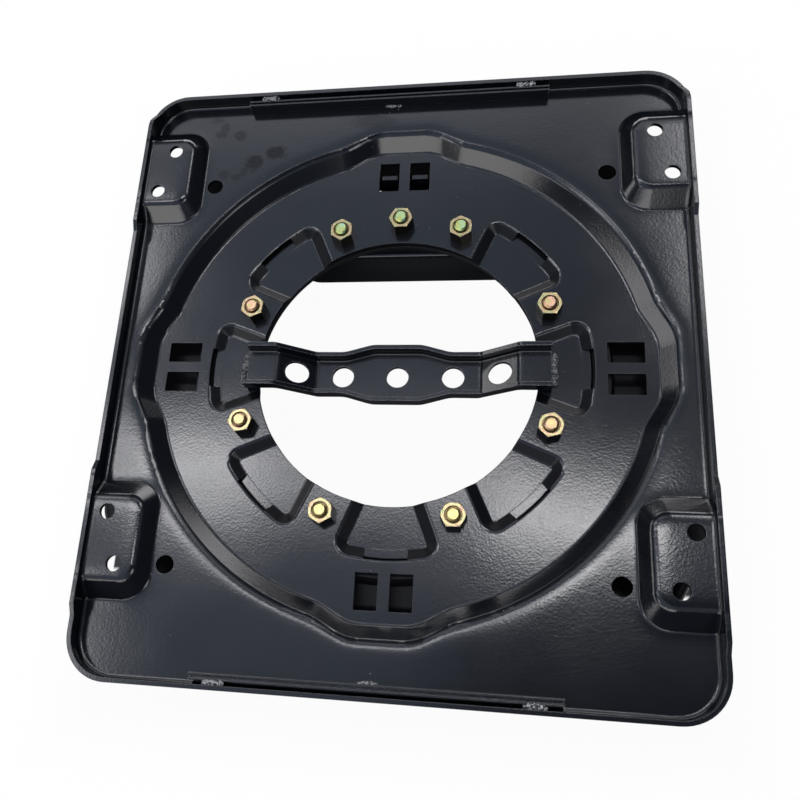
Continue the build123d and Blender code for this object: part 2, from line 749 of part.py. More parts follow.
# Grip pushed over the end of the tongue
with BuildPart() as lever_grip:
    grip_start_y = latch_reach_y + grip_wall - grip_length
    with BuildSketch(Plane.XZ.offset(-grip_start_y)):
        with Locations((0, latch_arm_z + latch_sheet / 2)):
            Rectangle(2 * grip_half_width, latch_sheet + 2 * grip_wall)
    extrude(amount=-grip_length)
    fillet(lever_grip.edges().filter_by(Axis.Y), grip_edge_r)
    fillet(lever_grip.faces().sort_by(Axis.Y)[-1].edges(), grip_edge_r / 2)
    with BuildSketch(Plane.XZ.offset(-grip_start_y)):
        with Locations((0, latch_arm_z + latch_sheet / 2)):
            Rectangle(2 * latch_tongue_half, latch_sheet)
    extrude(amount=-(latch_reach_y - grip_start_y), mode=Mode.SUBTRACT)

# Hanger under the pan, its ears outside the latch plate's ears
with BuildPart() as latch_hanger:
    hanger_half = latch_half + hanger_gap + hanger_sheet
    with BuildSketch(Plane.XZ.offset(-pin_y)):
        with Locations((0, pan_under_z)):
            Rectangle(2 * hanger_half, pan_under_z - pin_z, align=(Align.CENTER, Align.MAX))
        with Locations((0, pan_under_z - hanger_sheet)):
            Rectangle(
                2 * (latch_half + hanger_gap), pan_under_z - hanger_sheet - pin_z,
                align=(Align.CENTER, Align.MAX), mode=Mode.SUBTRACT,
            )
    extrude(amount=hanger_length / 2, both=True)
    with BuildSketch(Plane.YZ.offset(-hanger_half)):
        with Locations((pin_y, pin_z)):
            Circle(hanger_length / 2)
    extrude(amount=hanger_sheet)
    with BuildSketch(Plane.YZ.offset(hanger_half - hanger_sheet)):
        with Locations((pin_y, pin_z)):
            Circle(hanger_length / 2)
    extrude(amount=hanger_sheet)
    with BuildSketch(Plane.YZ.offset(-hanger_half)):
        with Locations((pin_y, pin_z)):
            Circle(pin_r + pin_seat_gap)
    extrude(amount=2 * hanger_half, mode=Mode.SUBTRACT)
    with BuildSketch(Plane.XY.offset(pan_under_z)):
        with Locations((spring_length / 2, pin_y - spring_r)):
            Circle(2 * spring_wire_r)
    extrude(amount=-hanger_sheet, mode=Mode.SUBTRACT)

# Pin with a flat head at one end and a clip groove at the other
with BuildPart() as latch_pin:
    clip_x = hanger_half + pin_seat_gap + clip_thickness / 2
    with BuildSketch(Plane.YZ.offset(-hanger_half - pin_head)):
        with Locations((pin_y, pin_z)):
            Circle(pin_head_r)
    extrude(amount=pin_head)
    with BuildSketch(Plane.YZ.offset(-hanger_half)):
        with Locations((pin_y, pin_z)):
            Circle(pin_r)
    extrude(amount=2 * hanger_half + 3 * clip_thickness)
    chamfer(latch_pin.edges().group_by(Axis.X)[-1], clip_thickness / 2)
    with BuildSketch(Plane.YZ.offset(clip_x - clip_thickness / 2)):
        with Locations((pin_y, pin_z)):
            Circle(pin_r + 1)
            Circle(pin_groove_r, mode=Mode.SUBTRACT)
    extrude(amount=clip_thickness, mode=Mode.SUBTRACT)

# Clip, a split ring in the pin's groove
with BuildPart() as pin_clip:
    with BuildSketch(Plane.YZ.offset(clip_x - clip_thickness / 2)):
        with Locations((pin_y, pin_z)):
            Circle(clip_r)
            Circle(pin_groove_r, mode=Mode.SUBTRACT)
        with Locations((pin_y, pin_z - clip_r)):
            Rectangle(2 * pin_groove_r, 2 * clip_r, mode=Mode.SUBTRACT)
    extrude(amount=clip_thickness)

# Torsion spring on the pin: one leg under the arm, one hooked up through the hanger
leg_start = Vector(-spring_length / 2, pin_y, pin_z + spring_r)
leg_end = Vector(-spring_length / 2, pin_y - spring_leg, latch_arm_z - spring_wire_r - latch_clear)
hook_start = Vector(spring_length / 2, pin_y - spring_r, pin_z)
hook_end = Vector(spring_length / 2, pin_y - spring_r, pan_under_z - hanger_sheet / 2)
with BuildPart() as latch_spring:
    with BuildLine() as coil_path:
        Helix(
            spring_length / spring_turns, spring_length, spring_r, center=(-spring_length / 2, pin_y, pin_z),
            direction=(1, 0, 0), lefthand=True,
        )
    with BuildSketch(Plane(origin=coil_path.line @ 0, z_dir=coil_path.line % 0)):
        Circle(spring_wire_r)
    sweep(path=coil_path.line)
    for start, end in ((leg_start, leg_end), (hook_start, hook_end)):
        with BuildSketch(Plane(origin=start, z_dir=end - start)):
            Circle(spring_wire_r)
        extrude(amount=(end - start).length)
        with Locations(start):
            Sphere(spring_wire_r)

pieces = {
    "turntable_plate": turntable_plate,
    "crossbar": crossbar,
    "crossbar_weld_left": crossbar_weld_left,
    "crossbar_weld_right": crossbar_weld_right,
    "front_rail": front_rail,
    "rear_rail": rear_rail,
    "front_rail_welds": front_rail_welds,
    "rear_rail_welds": rear_rail_welds,
    "retaining_ring": retaining_ring,
    "clamp_bolts": clamp_bolts,
    "bracket_bolts": bracket_bolts,
    "lock_nuts": lock_nuts,
    "bolt_spacers": bolt_spacers,
    "hanging_bracket": hanging_bracket,
    "base_pan": base_pan,
    "upper_slip_ring": upper_slip_ring,
    "lower_slip_ring": lower_slip_ring,
    "latch_plate": latch_plate,
    "lever_grip": lever_grip,
    "latch_hanger": latch_hanger,
    "latch_pin": latch_pin,
    "pin_clip": pin_clip,
    "latch_spring": latch_spring,
}
os.makedirs("parts", exist_ok=True)
for name, piece in pieces.items():
    piece.part.label = name
    export_step(piece.part, f"parts/{name}.step")
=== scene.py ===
import json
import math
import random

import bpy
import bmesh
from mathutils import Euler, Matrix, Vector, noise


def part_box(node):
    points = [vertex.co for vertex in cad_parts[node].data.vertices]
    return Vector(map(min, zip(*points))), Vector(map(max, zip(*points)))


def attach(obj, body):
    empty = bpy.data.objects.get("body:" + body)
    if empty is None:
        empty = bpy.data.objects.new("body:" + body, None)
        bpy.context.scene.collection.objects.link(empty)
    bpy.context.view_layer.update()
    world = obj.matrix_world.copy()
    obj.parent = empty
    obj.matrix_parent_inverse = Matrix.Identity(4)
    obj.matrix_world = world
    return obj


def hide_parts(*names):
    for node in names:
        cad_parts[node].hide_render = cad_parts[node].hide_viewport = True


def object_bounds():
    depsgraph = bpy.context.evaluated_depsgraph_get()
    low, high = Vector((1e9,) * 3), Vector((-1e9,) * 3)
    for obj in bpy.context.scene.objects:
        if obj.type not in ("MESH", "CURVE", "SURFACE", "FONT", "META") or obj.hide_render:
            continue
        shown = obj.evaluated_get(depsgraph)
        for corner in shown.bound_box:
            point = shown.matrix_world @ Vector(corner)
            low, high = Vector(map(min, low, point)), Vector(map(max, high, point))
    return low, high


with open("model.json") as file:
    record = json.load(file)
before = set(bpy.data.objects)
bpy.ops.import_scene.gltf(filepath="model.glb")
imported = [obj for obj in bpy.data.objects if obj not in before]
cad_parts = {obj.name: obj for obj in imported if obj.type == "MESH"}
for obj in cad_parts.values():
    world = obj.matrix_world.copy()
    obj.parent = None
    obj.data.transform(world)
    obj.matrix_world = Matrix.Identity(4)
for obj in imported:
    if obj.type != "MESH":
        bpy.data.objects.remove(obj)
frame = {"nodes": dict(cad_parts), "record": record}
cad_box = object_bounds()

MM = 0.001
WHITE = (1.0, 1.0, 1.0)

# Heights above the floor: the frame gives the nuts' seat, and the pressing's depths give the rest
DISH_DEPTH = 8.7 * MM
RIM_RISE = 9.3 * MM
plate_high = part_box("turntable_plate")[1]
nut_low, nut_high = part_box("lock_nuts")
dish_floor_z = nut_low.z
deck_z = dish_floor_z + DISH_DEPTH
rim_z = deck_z + RIM_RISE


class Wire:
    """One output of a node. Python's operators on it add the Math nodes of the same sum."""

    def __init__(self, tree, socket):
        self.tree = tree
        self.socket = socket

    def maths(self, operation, *terms):
        """Adds a Math node on the terms, which are wires or numbers."""
        return self.tree.node("ShaderNodeMath", {"operation": operation}, dict(enumerate(terms))).out(0)

    def __add__(self, other):
        return self.maths("ADD", self, other)

    def __radd__(self, other):
        return self.maths("ADD", other, self)

    def __sub__(self, other):
        return self.maths("SUBTRACT", self, other)

    def __rsub__(self, other):
        return self.maths("SUBTRACT", other, self)

    def __mul__(self, other):
        return self.maths("MULTIPLY", self, other)

    def __rmul__(self, other):
        return self.maths("MULTIPLY", other, self)

    def __truediv__(self, other):
        return self.maths("DIVIDE", self, other)

    def __pow__(self, other):
        return self.maths("POWER", self, other)

    def larger(self, other):
        return self.maths("MAXIMUM", self, other)

    def smaller(self, other):
        return self.maths("MINIMUM", self, other)

    def size(self):
        return self.maths("ABSOLUTE", self)

    def exponent(self):
        return self.maths("EXPONENT", self)

    def soft_larger(self, other, width):
        """The larger of two, with the corner where they cross rounded over a width."""
        return self.maths("SMOOTH_MAX", self, other, width)

    def soft_smaller(self, other, width):
        """The smaller of two, with the corner where they cross rounded over a width."""
        return self.maths("SMOOTH_MIN", self, other, width)

    def above(self, low, high):
        """0 below low, 1 above high and a smooth rise between them."""
        settings = {"interpolation_type": "SMOOTHSTEP"}
        sockets = {"Value": self, "From Min": low, "From Max": high}
        return self.tree.node("ShaderNodeMapRange", settings, sockets).out(0)

    def below(self, low, high):
        """1 below low, 0 above high and a smooth fall between them."""
        return 1 - self.above(low, high)

    def between(self, low, high, soft):
        """1 from low to high, with soft ends outside them."""
        return self.above(low - soft, low) * self.below(high, high + soft)


class Node:
    """A node whose outputs come back as wires."""

    def __init__(self, tree, node):
        self.tree = tree
        self.node = node

    def out(self, name):
        return Wire(self.tree, self.node.outputs[name])


class Tree:
    """A node tree of a material or a world, with one method that adds any node."""

    def __init__(self, owner):
        owner.use_nodes = True
        self.nodes = owner.node_tree.nodes
        self.links = owner.node_tree.links

    def feed(self, socket, value):
        """Links a wire to a socket, or sets the socket to a number or a colour."""
        if isinstance(value, Wire):
            self.links.new(value.socket, socket)
        elif hasattr(value, "__len__") and socket.type == "RGBA" and len(value) == 3:
            socket.default_value = (*value, 1.0)
        else:
            socket.default_value = value

    def node(self, kind, settings=None, sockets=None):
        """Adds a node, sets its properties and feeds its input sockets."""
        made = self.nodes.new(kind)
        for name, value in (settings or {}).items():
            if name == "stops":
                self.set_stops(made.color_ramp, value)
            else:
                setattr(made, name, value)
        for name, value in (sockets or {}).items():
            self.feed(made.inputs[name], value)
        return Node(self, made)

    def set_stops(self, ramp, stops):
        """Gives a colour ramp its places and colours."""
        while len(ramp.elements) < len(stops):
            ramp.elements.new(1.0)
        for element, (place, colour) in zip(ramp.elements, stops):
            element.position = place
            element.color = (*colour, 1.0)

    def mix(self, share, first, second):
        """first where share is 0 and second where it is 1, for colours."""
        return self.node("ShaderNodeMix", {"data_type": "RGBA"}, {0: share, 6: first, 7: second}).out(2)

    def mix_shaders(self, share, first, second):
        """first where share is 0 and second where it is 1, for shaders."""
        return self.node("ShaderNodeMixShader", None, {0: share, 1: first, 2: second}).out(0)

    def ramp(self, share, stops):
        """A colour that follows share through a list of places and colours."""
        return self.node("ShaderNodeValToRGB", {"stops": stops}, {"Fac": share}).out(0)

    def vector_maths(self, operation, sockets, output=0):
        return self.node("ShaderNodeVectorMath", {"operation": operation}, sockets).out(output)

    def scaled(self, colour, strength):
        """A colour times a strength."""
        return self.vector_maths("SCALE", {0: colour, "Scale": strength})

    def summed(self, first, second):
        """Two colours added."""
        return self.vector_maths("ADD", {0: first, 1: second})

    def noise(self, vector, scale, detail=2.0, roughness=0.5):
        """Soft noise from 0 to 1, with about scale waves a metre."""
        sockets = {"Vector": vector, "Scale": scale, "Detail": detail, "Roughness": roughness}
        return self.node("ShaderNodeTexNoise", {"noise_dimensions": "3D"}, sockets).out(0)

    def shifted(self, vector, offset, stretch=(1.0, 1.0, 1.0)):
        """A place stretched and then moved."""
        sockets = {"Vector": vector, "Location": offset, "Scale": stretch}
        return self.node("ShaderNodeMapping", None, sockets).out(0)


class Finish(Tree):
    """A material on one Principled shader, with the row frame's point in metres as its place."""

    def __init__(self, name):
        self.material = bpy.data.materials.new(name)
        super().__init__(self.material)
        self.shader = self.nodes["Principled BSDF"]
        self.place = self.node("ShaderNodeTexCoord").out("Object")
        parts = self.node("ShaderNodeSeparateXYZ", None, {0: self.place})
        self.x, self.y, self.z = parts.out(0), parts.out(1), parts.out(2)

    def set(self, **sockets):
        """Feeds the Principled shader's sockets, whose spaces are written as underscores."""
        for name, value in sockets.items():
            self.feed(self.shader.inputs[name.replace("_", " ")], value)

    def rounded(self, radius):
        """The surface normal with sharp edges softened over radius."""
        return self.node("ShaderNodeBevel", {"samples": 4}, {"Radius": radius}).out(0)

    def surface(self, shader):
        """Sets what the material's output shows."""
        self.feed(self.nodes["Material Output"].inputs["Surface"], shader)

    def blend_dark(self, share):
        """Mixes in a duller, darker copy of the same coat, for finger marks and for painted shade."""
        film = self.node("ShaderNodeBsdfPrincipled", None, OIL_AND_SHADE_FILM).out(0)
        self.surface(self.mix_shaders(share, Wire(self, self.shader.outputs[0]), film))

    def facing_up(self):
        """1 on a level top, 0 on an upright side and -1 on an underside."""
        normal = self.node("ShaderNodeNewGeometry").out("Normal")
        return self.node("ShaderNodeSeparateXYZ", None, {0: normal}).out(2)

    def within(self, radius, fade):
        """1 within a radius of the swivel axis, falling to 0 where its square has grown by fade."""
        reach = self.x * self.x + self.y * self.y
        return reach.below(radius * radius, radius * radius * fade)

    def bump(self, height, depth, normal=None):
        """The normal of a skin whose height times depth stands on another normal."""
        sockets = {"Height": height, "Distance": depth, "Strength": 1.0}
        if normal is not None:
            sockets["Normal"] = normal
        return self.node("ShaderNodeBump", None, sockets).out(0)

    def edge(self, radius, low=0.03, high=0.25):
        """1 along sharp edges, where a normal softened over radius leaves the true one."""
        true_normal = self.node("ShaderNodeNewGeometry").out("Normal")
        alike = self.vector_maths("DOT_PRODUCT", {0: true_normal, 1: self.rounded(radius)}, "Value")
        return (1 - alike).above(low, high)

    def spot(self, x, y, half_x, half_y):
        """1 in an uneven oval about a place on the plate, falling to 0 at its edge."""
        along = (self.x - x) / half_x
        across = (self.y - y) / half_y
        wobble = self.noise(self.place, scale=MARK_WOBBLE_SCALE, detail=3.0) - 0.5
        return ((along * along + across * across) ** 0.5 + wobble).below(*MARK_EDGE)


# Black coat: colours, and the scale and depth of its skin
COAT_BLACK = (0.0035, 0.0043, 0.0062)
# Pale edges: bare sheared steel, and on the bars and rails a painted highlight as well
BARE_AND_LIT_EDGE = (0.32, 0.32, 0.33)
DUST_GREY = (0.22, 0.22, 0.22)
# Duller, darker copy of the coat: finger marks, and painted shade on the sector walls and the pan
OIL_AND_SHADE_FILM = {"Base Color": (0.003, 0.003, 0.004), "Roughness": 0.38, "Specular IOR Level": 0.12}
COAT_ROUGHNESS = 0.15
PEEL_SCALE = 820.0
PEEL_DEPTH = 0.034 * MM
WAVE_SCALE = 45.0
WAVE_DEPTH = 0.05 * MM
BROAD_HAZE = 0.08
FINE_HAZE = 0.06
EDGE_HAZE = 0.1
GRIT_SCALE = 1100.0
GRIT_RANGE = (0.35, 0.60)
DUST_SHARE = 0.55
DUST_SCALE = 260.0
DUST_SPECK_RANGE = (0.04, 0.10)
DUST_PATCH_SCALE = 75.0
DUST_PATCH_SHIFT = (0.3, 0.1, 0.2)
DUST_PATCH_RANGE = (0.62, 0.68)
SOFT_EDGE = 0.70 * MM
RIM_EDGE = 0.35 * MM
RIM_EDGE_LOW = 2.0 * MM
RIM_EDGE_HIGH = 1.0 * MM
BAR_EDGE = 0.80 * MM

# Where the sheet starts to roll before its bends: the dish's and the corner pads' outlines
DISH_R = 151.5 * MM
BULGE_R = 157.3 * MM
BULGE_HALF = 18.0 * MM
BULGE_FLANK_NORMAL = (0.884, 0.468)
BULGE_SPREAD = 0.40
BULGE_BLEND = 5.0 * MM
PAD_MIDDLE_Y = 10.2 * MM
PAD_PLACE_Y = 120.0 * MM
PAD_FOOT = (130.5 * MM, 34.0 * MM, 15.0 * MM)
PAD_FACE = (137.0 * MM, 24.0 * MM, 9.5 * MM)
PAD_FOOT_START = 1.0 * MM
PAD_FOOT_SHARE = 0.4
PAD_FACE_SHARE = 0.7
CREST_START = 1.9 * MM
ROLL_WIDTH = 3.0 * MM
ROLL_LENGTH = 2.6 * MM
ROLL_FALL = 0.42 * MM

# Painted shade, a duller and darker copy of the coat: on the sector pads' walls, and on the pan under the
# turntable
SECTOR_DROP = 3.5 * MM
SECTOR_R = 116.0 * MM
SECTOR_FADE = 1.03
SECTOR_SHADE = 0.9
WALL_FOOT = 0.6 * MM
WALL_HEAD = 0.7 * MM
WALL_SOFT = 0.4 * MM
PAN_SHADE_R = 165.0 * MM
PAN_SHADE_FADE = 1.05
NOT_AN_UNDERSIDE = (-0.5, -0.2)
NEARLY_LEVEL = (0.3, 0.7)

# Oil marks of fingers, and one painted shadow, on the plate: place and half sizes in millimetres, and
# strength
OIL_AND_SHADOW_MARKS = [
    (-98.3, 140.0, 6.6, 6.6, 0.85), (-84.2, 147.3, 8.0, 5.8, 0.85), (-109.5, 161.5, 5.0, 4.6, 0.55),
    (-122.5, 163.4, 5.0, 3.4, 0.50), (-121.0, 168.0, 3.6, 5.2, 0.45), (-118.5, 131.7, 4.6, 4.0, 0.45),
    (-109.4, 129.8, 3.8, 3.0, 0.50), (-104.4, 133.4, 3.0, 3.8, 0.50), (-127.0, 174.5, 5.6, 2.6, 0.40),
    # Painted shadow: the last mark is a long strip beside the rear rail, not a finger mark
    (-20.0, 168.0, 17.0, 6.0, 0.35),
]
MARK_WOBBLE_SCALE = 260.0
MARK_EDGE = (0.6, 1.1)
MARK_BLOTCH_RANGE = (0.30, 0.60)
MARK_SHARE = 0.45
BLOTCH_SHARE = 0.45
DECK_BAND = 0.2 * MM
DECK_SOFT = 0.3 * MM

# Colours of the yellow zinc's films, from one end of their drift to the other
NUT_FILMS = [
    (0.30, (0.30, 0.32, 0.16)), (0.45, (0.42, 0.37, 0.19)),
    (0.56, (0.44, 0.33, 0.18)), (0.70, (0.36, 0.24, 0.17)),
]
STUD_FILMS = [
    (0.10, (0.58, 0.48, 0.20)), (0.30, (0.50, 0.36, 0.18)), (0.45, (0.58, 0.34, 0.30)),
    (0.62, (0.56, 0.34, 0.20)), (0.80, (0.38, 0.44, 0.14)), (0.95, (0.36, 0.56, 0.36)),
]
ZINC_WORN = (0.78, 0.76, 0.66)
# Painted shade: near black on the nuts' upright sides, and brown in the groove about the stud
FLANK_SHADE = (0.03, 0.027, 0.022)
GROOVE_SHADE = (0.10, 0.055, 0.025)
NUT_GRAIN = (0.26, 0.23, 0.15)
STUD_GRAIN = (0.34, 0.26, 0.12)
FLANK_RANGE = (0.25, 0.6)
FLANK_SHARE = 0.94
GROOVE_LOW = 1.6 * MM
GROOVE_HIGH = 1.0 * MM
GROOVE_SHARE = 0.85
STUD_DRIFT_SLOPE = 4.2
STUD_DRIFT_MIDDLE = 0.46
STUD_DRIFT_NOISE = 0.7


def roll(distance):
    """Height of a sheet that starts to fall before a bend: distance is how far the bend is still away."""
    ahead = (distance.larger(0.0) / -ROLL_LENGTH).exponent()
    past = (distance * -1.0).larger(0.0).smaller(ROLL_WIDTH)
    return ahead * -1.0 - (past - past * past / (2 * ROLL_WIDTH)) / ROLL_LENGTH


def dish_distance(coat):
    """How far a point lies outside the dish's outline, with its four flat-topped bulges."""
    along = coat.x.size().larger(coat.y.size())
    across = coat.x.size().smaller(coat.y.size())
    circle = (coat.x * coat.x + coat.y * coat.y) ** 0.5 - DISH_R
    top = along - BULGE_R
    normal_along, normal_across = BULGE_FLANK_NORMAL
    flank = top * normal_along + (across - BULGE_HALF) * normal_across
    past_flank = (across / along.larger(1.0 * MM) - BULGE_SPREAD).larger(0.0) * BULGE_R
    bulge = top.soft_larger(flank + past_flank, BULGE_BLEND)
    return circle.soft_smaller(bulge, BULGE_BLEND)


def pad_distance(coat, outline):
    """How far a point lies outside a corner pad's outline: its inner x, half length and corner radius."""
    inner_x, half_y, corner_r = outline
    aside = (inner_x + corner_r) - coat.x.size()
    ahead = ((coat.y - PAD_MIDDLE_Y).size() - PAD_PLACE_Y).size() - (half_y - corner_r)
    out_x = aside.larger(0.0)
    out_y = ahead.larger(0.0)
    return (out_x * out_x + out_y * out_y) ** 0.5 + aside.larger(ahead).smaller(0.0) - corner_r


def pressed_shape(coat, shape):
    """The slow roll of the sheet into the bends of the dish and the corner pads."""
    shape = coat.bump(roll(dish_distance(coat) - CREST_START), ROLL_FALL, shape)
    foot = roll(pad_distance(coat, PAD_FOOT) - PAD_FOOT_START)
    face = roll(pad_distance(coat, PAD_FACE) * -1.0 - CREST_START)
    return coat.bump(face * PAD_FACE_SHARE - foot * PAD_FOOT_SHARE, ROLL_FALL, shape)


def dust_specks(coat):
    """Small round specks, only where a broad noise lets dust lie."""
    sockets = {"Vector": coat.place, "Scale": DUST_SCALE, "Randomness": 1.0}
    field = coat.node("ShaderNodeTexVoronoi", {"feature": "F1"}, sockets).out("Distance")
    patches = coat.noise(coat.shifted(coat.place, DUST_PATCH_SHIFT), scale=DUST_PATCH_SCALE, detail=1.0)
    return field.below(*DUST_SPECK_RANGE) * patches.above(*DUST_PATCH_RANGE)


def black_coat(name, film, edges, edge_share, pressed=False):
    """Electrocoat on sheet steel: near black, satin, with orange peel, dust and paler sheared edges (painted
    highlight on bars).

    film says where a duller, darker copy shows, for finger marks and painted shade; edges where its edges
    are pale.
    """
    coat = Finish(name)
    broad = coat.noise(coat.place, scale=28.0, detail=3.0)
    fine = coat.noise(coat.place, scale=1400.0, detail=2.0, roughness=0.6)
    sheared = edges(coat)
    grit = coat.noise(coat.place, scale=GRIT_SCALE, detail=3.0, roughness=0.7).above(*GRIT_RANGE)
    # Pale edges: bare sheared steel, and on the bars and rails a painted highlight as well
    worn = coat.mix(sheared * grit * edge_share, COAT_BLACK, BARE_AND_LIT_EDGE)
    peel = coat.noise(coat.place, scale=PEEL_SCALE, detail=1.5, roughness=0.45)
    wave = coat.noise(coat.place, scale=WAVE_SCALE, detail=2.0)
    haze = (broad - 0.5) * BROAD_HAZE + (fine - 0.5) * FINE_HAZE + sheared * EDGE_HAZE
    shape = coat.bump(peel, PEEL_DEPTH, coat.bump(wave, WAVE_DEPTH, coat.rounded(SOFT_EDGE)))
    coat.set(
        Base_Color=coat.mix(dust_specks(coat) * DUST_SHARE, worn, DUST_GREY),
        Roughness=COAT_ROUGHNESS + haze,
        Normal=pressed_shape(coat, shape) if pressed else shape,
    )
    coat.blend_dark(film(coat))
    return coat.material


def rim_edges(coat):
    """The sheared edge on top of the rim."""
    return coat.edge(RIM_EDGE) * coat.z.above(rim_z - RIM_EDGE_LOW, rim_z - RIM_EDGE_HIGH)


def bar_edges(coat):
    """Every edge of a cut bar or strip: bare sheared steel, with a painted highlight along it."""
    return coat.edge(BAR_EDGE)


def no_film(coat):
    """The coat as it is, with no dull film."""
    return 0.0


def plate_film(coat):
    """Oil marks and a painted rail shadow on the deck, and painted shade down the walls of the sector pads.
    """
    marks = [
        coat.spot(x * MM, y * MM, half_x * MM, half_y * MM) * strength
        for x, y, half_x, half_y, strength in OIL_AND_SHADOW_MARKS
    ]
    oil_and_shadow = marks[0]
    for mark in marks[1:]:
        oil_and_shadow = oil_and_shadow.larger(mark)
    blotches = coat.noise(coat.place, scale=900.0, detail=3.0, roughness=0.7).above(*MARK_BLOTCH_RANGE)
    on_deck = coat.z.between(deck_z - DECK_BAND, deck_z + DECK_BAND, DECK_SOFT)
    oil_and_shadow = oil_and_shadow * on_deck * (MARK_SHARE + blotches * BLOTCH_SHARE)
    wall_low = dish_floor_z - SECTOR_DROP + WALL_FOOT
    wall_high = dish_floor_z - WALL_HEAD
    # Painted shade: the sector pads' walls take the duller, darker copy of the coat
    walls = coat.within(SECTOR_R, SECTOR_FADE) * coat.z.between(wall_low, wall_high, WALL_SOFT)
    return oil_and_shadow.larger(walls * SECTOR_SHADE)


def pan_painted_shade(coat):
    """Painted shade on the pan's level tops and, under the turntable, on its walls too."""
    facing = coat.facing_up()
    # Painted shade: a duller, darker copy of the coat where the turntable shades the pan
    under_plate = coat.within(PAN_SHADE_R, PAN_SHADE_FADE) * facing.above(*NOT_AN_UNDERSIDE)
    return under_plate.larger(facing.above(*NEARLY_LEVEL))


PLAIN_GREY = (0.02, 0.021, 0.024)
PLAIN_PEEL_DEPTH = 0.004 * MM


def plain_coat(name, colour, roughness):
    """A plainer black coat for the pieces underneath."""
    coat = Finish(name)
    fine = coat.noise(coat.place, scale=1200.0, detail=2.0, roughness=0.6)
    peel = coat.noise(coat.place, scale=PEEL_SCALE, detail=2.0)
    coat.set(
        Base_Color=coat.mix(fine * 0.3, colour, PLAIN_GREY),
        Roughness=roughness + (fine - 0.5) * 0.12,
        Normal=coat.bump(peel, PLAIN_PEEL_DEPTH, coat.rounded(SOFT_EDGE)),
    )
    return coat.material


def zinc_nuts(name):
    """Yellow passivated zinc on the nuts; painted shade darkens the sides and browns the groove by the stud.
    """
    zinc = Finish(name)
    film = zinc.ramp(zinc.noise(zinc.place, scale=260.0, detail=2.0, roughness=0.5), NUT_FILMS)
    grain = zinc.noise(zinc.place, scale=2600.0, detail=2.0, roughness=0.7)
    facing = zinc.facing_up()
    flank = facing.size().below(*FLANK_RANGE)
    groove_low = nut_high.z - GROOVE_LOW
    groove_high = nut_high.z - GROOVE_HIGH
    groove = zinc.z.between(groove_low, groove_high, 0.05 * MM) * facing.above(0.85, 0.95)
    worn = zinc.mix(zinc.edge(0.3 * MM) * 0.5, film, ZINC_WORN)
    # Painted shade: the upright sides near black, as they look mirroring the black plate in shade
    flank_shaded = zinc.mix(flank * FLANK_SHARE, worn, FLANK_SHADE)
    # Painted shade: the groove about the stud brown, for the shade in the recess
    groove_shaded = zinc.mix(groove * GROOVE_SHARE, flank_shaded, GROOVE_SHADE)
    zinc.set(
        Base_Color=zinc.mix(grain.above(0.60, 0.75) * 0.35, groove_shaded, NUT_GRAIN),
        Metallic=1.0,
        Roughness=0.30 + (grain - 0.5) * 0.25,
        Normal=zinc.bump(grain, 0.02 * MM, zinc.rounded(0.25 * MM)),
    )
    return zinc.material


def zinc_studs(name):
    """Yellow passivated zinc on the bolts, with a film that drifts from yellow in front to green behind."""
    zinc = Finish(name)
    cloud = zinc.noise(zinc.place, scale=330.0, detail=2.0, roughness=0.6) - 0.5
    drift = zinc.y * STUD_DRIFT_SLOPE + STUD_DRIFT_MIDDLE + cloud * STUD_DRIFT_NOISE
    grain = zinc.noise(zinc.place, scale=2200.0, detail=2.0, roughness=0.7)
    zinc.set(
        Base_Color=zinc.mix(grain.above(0.55, 0.75) * 0.4, zinc.ramp(drift, STUD_FILMS), STUD_GRAIN),
        Metallic=1.0,
        Roughness=0.32 + (grain - 0.5) * 0.25,
        Normal=zinc.bump(grain, 0.04 * MM, zinc.rounded(0.6 * MM)),
    )
    return zinc.material


TURNING_MARKS = (400.0, 400.0, 2600.0)


def bright_steel(name, colour, roughness):
    """Bare or bright plated steel with fine turning marks."""
    steel = Finish(name)
    turned = steel.shifted(steel.place, (0.0, 0.0, 0.0), stretch=TURNING_MARKS)
    grain = steel.noise(turned, scale=1.0, detail=2.0, roughness=0.6)
    steel.set(
        Base_Color=steel.mix(grain * 0.4, colour, [0.7 * part for part in colour]),
        Metallic=1.0,
        Roughness=roughness + (grain - 0.5) * 0.2,
        Normal=steel.bump(grain, 0.004 * MM, steel.rounded(0.2 * MM)),
    )
    return steel.material


def moulded_plastic(name, colour, roughness, grain_scale, grain_depth):
    """Moulded plastic with a fine spark-eroded grain."""
    plastic = Finish(name)
    grain = plastic.noise(plastic.place, scale=grain_scale, detail=3.0, roughness=0.6)
    cloud = plastic.noise(plastic.place, scale=60.0, detail=2.0)
    plastic.set(
        Base_Color=plastic.mix(cloud * 0.25, colour, [0.82 * part for part in colour]),
        Roughness=roughness + (grain - 0.5) * 0.15,
        Normal=plastic.bump(grain, grain_depth, plastic.rounded(0.4 * MM)),
    )
    return plastic.material


WELD_BLACK = (0.010, 0.011, 0.013)
WELD_PALE = (0.42, 0.42, 0.41)
WELD_RING_RANGE = (0.020, 0.065)
WELD_SPECK_RANGE = (0.56, 0.66)
WELD_SPECK_SHARE = 0.8


def weld_metal(name, pale):
    """Coated weld bead, black with scaly rings and specks. pale says how strongly those show."""
    weld = Finish(name)
    scale = weld.noise(weld.place, scale=900.0, detail=4.0, roughness=0.65)
    waves = weld.noise(weld.place, scale=520.0, detail=2.0, roughness=0.5) - 0.5
    rings = waves.size().below(*WELD_RING_RANGE)
    specks = weld.noise(weld.place, scale=1300.0, detail=2.0, roughness=0.6).above(*WELD_SPECK_RANGE)
    weld.set(
        Base_Color=weld.mix((rings * pale).larger(specks * pale * WELD_SPECK_SHARE), WELD_BLACK, WELD_PALE),
        Roughness=0.34 + scale * 0.2,
        Normal=weld.bump(scale, 0.12 * MM),
    )
    return weld.material


